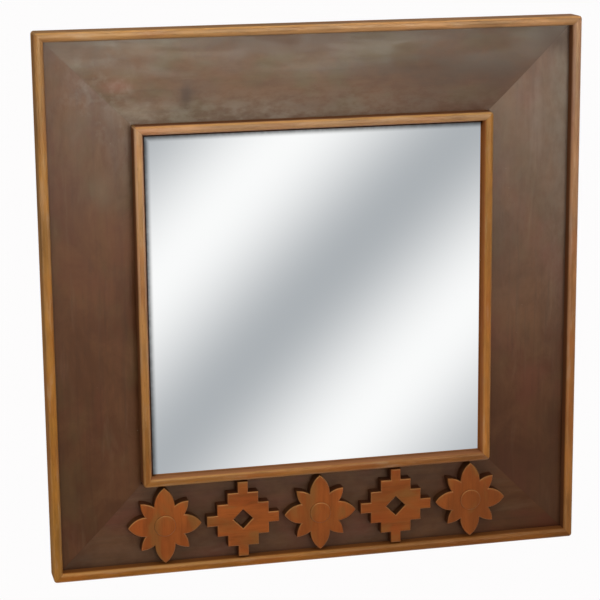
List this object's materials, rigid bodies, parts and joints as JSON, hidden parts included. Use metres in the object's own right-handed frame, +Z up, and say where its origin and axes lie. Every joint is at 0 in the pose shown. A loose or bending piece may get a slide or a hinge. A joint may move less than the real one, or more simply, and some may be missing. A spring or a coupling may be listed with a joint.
{
  "type": "wall mirror",
  "caption": "Square wooden wall mirror: a broad dark mitred frame between two slim rounded rims, a row of raised carved ornaments below the glass, and swinging hanger rings behind.",
  "frame": {"origin": "middle of the back, on the plane where the mirror lies against the wall", "axes": "+X to the viewer's right, +Y into the wall, +Z up; the glass faces -Y"},
  "size_m": [0.6, 0.03, 0.6],
  "materials": {
    "rim_wood": "honey-brown stained hardwood, satin varnish",
    "ornament_wood": "orange-brown hardwood, satin varnish",
    "dark_wood": "dark-brown stained and waxed wood, soft sheen",
    "plain_wood": "bare softwood",
    "plywood": "bare plywood",
    "hardboard": "bare hardboard",
    "mirror": "silvered float glass",
    "zinc_steel": "zinc-plated steel"
  },
  "bodies": {
    "frame": {"outer_rim_top": "rim_wood", "panel_board_top": "dark_wood", "inner_rim_top": "rim_wood", "glazing_strip_top": "plain_wood", "outer_rim_right": "rim_wood", "panel_board_right": "dark_wood", "inner_rim_right": "rim_wood", "glazing_strip_right": "plain_wood", "outer_rim_bottom": "rim_wood", "panel_board_bottom": "dark_wood", "inner_rim_bottom": "rim_wood", "glazing_strip_bottom": "plain_wood", "outer_rim_left": "rim_wood", "panel_board_left": "dark_wood", "inner_rim_left": "rim_wood", "glazing_strip_left": "plain_wood", "mirror_glass": "mirror", "glass_backer": "hardboard", "back_cover": "plywood", "back_cover_screws": "zinc_steel", "corner_splines": "plain_wood", "rim_pins": "zinc_steel", "strip_pins": "zinc_steel", "ornament_1": "ornament_wood", "ornament_2": "ornament_wood", "ornament_3": "ornament_wood", "ornament_4": "ornament_wood", "ornament_5": "ornament_wood", "ornament_screws": "zinc_steel", "hanger_strap_left": "zinc_steel", "hanger_strap_right": "zinc_steel", "hanger_screws": "zinc_steel"},
    "left_ring": {"hanger_ring_left": "zinc_steel"},
    "right_ring": {"hanger_ring_right": "zinc_steel"}
  },
  "joints": [
    {"name": "left_ring_swing", "type": "hinge", "parent": "frame", "child": "left_ring", "pos_m": [-0.244, -0.00245, 0.182], "axis": [1, 0, 0], "range_deg": [0, 180]},
    {"name": "right_ring_swing", "type": "hinge", "parent": "frame", "child": "right_ring", "pos_m": [0.244, -0.00245, 0.182], "axis": [1, 0, 0], "range_deg": [0, 180]}
  ]
}
